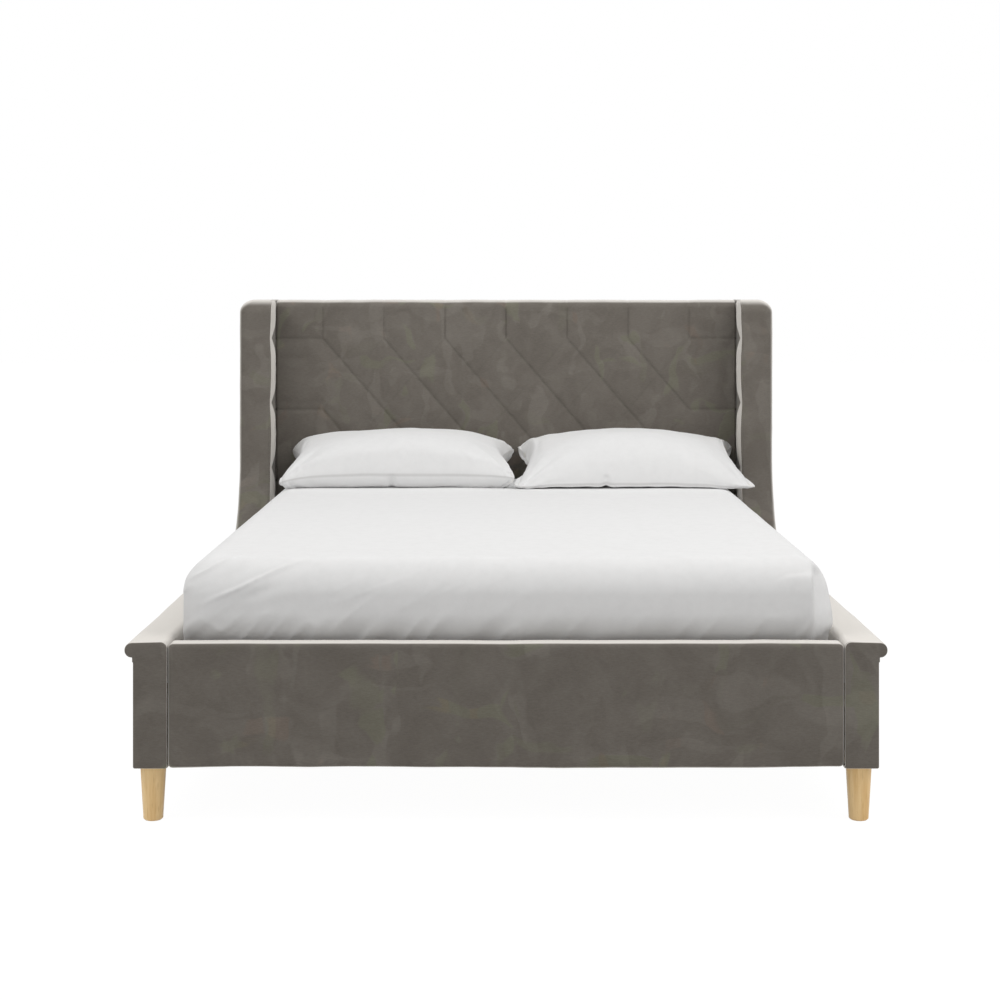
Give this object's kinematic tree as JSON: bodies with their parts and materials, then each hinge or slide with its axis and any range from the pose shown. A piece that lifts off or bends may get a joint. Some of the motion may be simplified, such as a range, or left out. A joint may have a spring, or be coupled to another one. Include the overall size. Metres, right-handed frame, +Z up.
{
  "type": "sleigh bed",
  "caption": "Upholstered wingback sleigh bed: velvet box frame with rolled side rails, diamond-tufted headboard, tapered wood legs, slats, mattress and pillows.",
  "frame": {"origin": "on the floor, midway between the two sides and midway between the foot and the back of the headboard", "axes": "+X to the right as seen from the foot, +Y from the foot to the headboard, +Z up"},
  "size_m": [1.808, 2.242, 1.206],
  "materials": {
    "velvet": "cut velvet, soft nap with brush marks",
    "leg_wood": "clear satin lacquer on pale ash",
    "slat_wood": "planed pine",
    "frame_wood": "sawn and planed pine",
    "plywood": "sanded plywood",
    "bracket_steel": "black powder coat",
    "bolt_steel": "zinc plated",
    "mattress_ticking": "knitted ticking",
    "sheet_cotton": "plain cotton percale",
    "pillow_ticking": "down-proof cotton",
    "pillowcase_cotton": "plain cotton percale"
  },
  "bodies": {
    "bed_frame": {"beam_hangers": "bracket_steel", "centre_beam": "frame_wood", "centre_leg_front": "frame_wood", "centre_leg_rear": "frame_wood", "corner_brackets": "bracket_steel", "footboard_core": "frame_wood", "footboard_cover": "velvet", "headboard_back_panel": "velvet", "headboard_bottom_rail": "frame_wood", "headboard_face_board": "plywood", "headboard_stile_left": "frame_wood", "headboard_stile_right": "frame_wood", "headboard_top_rail": "frame_wood", "headboard_tufted_pad": "velvet", "legs_front": "leg_wood", "legs_rear": "leg_wood", "rail_cover_left": "velvet", "rail_cover_right": "velvet", "rail_facing_left": "velvet", "rail_facing_right": "velvet", "rail_hook_plates": "bracket_steel", "rail_nosing_left": "frame_wood", "rail_nosing_right": "frame_wood", "receiver_plates": "bracket_steel", "side_rail_core_left": "frame_wood", "side_rail_core_right": "frame_wood", "slat_01": "slat_wood", "slat_02": "slat_wood", "slat_03": "slat_wood", "slat_04": "slat_wood", "slat_05": "slat_wood", "slat_06": "slat_wood", "slat_07": "slat_wood", "slat_08": "slat_wood", "slat_09": "slat_wood", "slat_10": "slat_wood", "slat_11": "slat_wood", "slat_12": "slat_wood", "slat_ledger_left": "frame_wood", "slat_ledger_right": "frame_wood", "wing_core_left": "plywood", "wing_core_right": "plywood", "wing_cover_left": "velvet", "wing_cover_right": "velvet", "wing_tufted_pad_left": "velvet", "wing_tufted_pad_right": "velvet"},
    "mattress_with_sheet": {"mattress": "mattress_ticking", "fitted_sheet": "sheet_cotton"},
    "left_pillow": {"pillow_left": "pillow_ticking", "pillowcase_left": "pillowcase_cotton"},
    "right_pillow": {"pillow_right": "pillow_ticking", "pillowcase_right": "pillowcase_cotton"},
    "front_levelling_foot": {"levelling_foot_front": "bolt_steel"},
    "rear_levelling_foot": {"levelling_foot_rear": "bolt_steel"}
  },
  "joints": [
    {"name": "mattress_lift", "type": "slide", "parent": "bed_frame", "child": "mattress_with_sheet", "axis": [0, 0, 1], "range_m": [0, 0.35]},
    {"name": "left_pillow_lift", "type": "slide", "parent": "mattress_with_sheet", "child": "left_pillow", "axis": [0, 0, 1], "range_m": [0, 0.3]},
    {"name": "right_pillow_lift", "type": "slide", "parent": "mattress_with_sheet", "child": "right_pillow", "axis": [0, 0, 1], "range_m": [0, 0.3]},
    {"name": "front_levelling_screw", "type": "slide", "parent": "bed_frame", "child": "front_levelling_foot", "axis": [0, 0, 1], "range_m": [-0.01, 0.01]},
    {"name": "rear_levelling_screw", "type": "slide", "parent": "bed_frame", "child": "rear_levelling_foot", "axis": [0, 0, 1], "range_m": [-0.01, 0.01]}
  ]
}
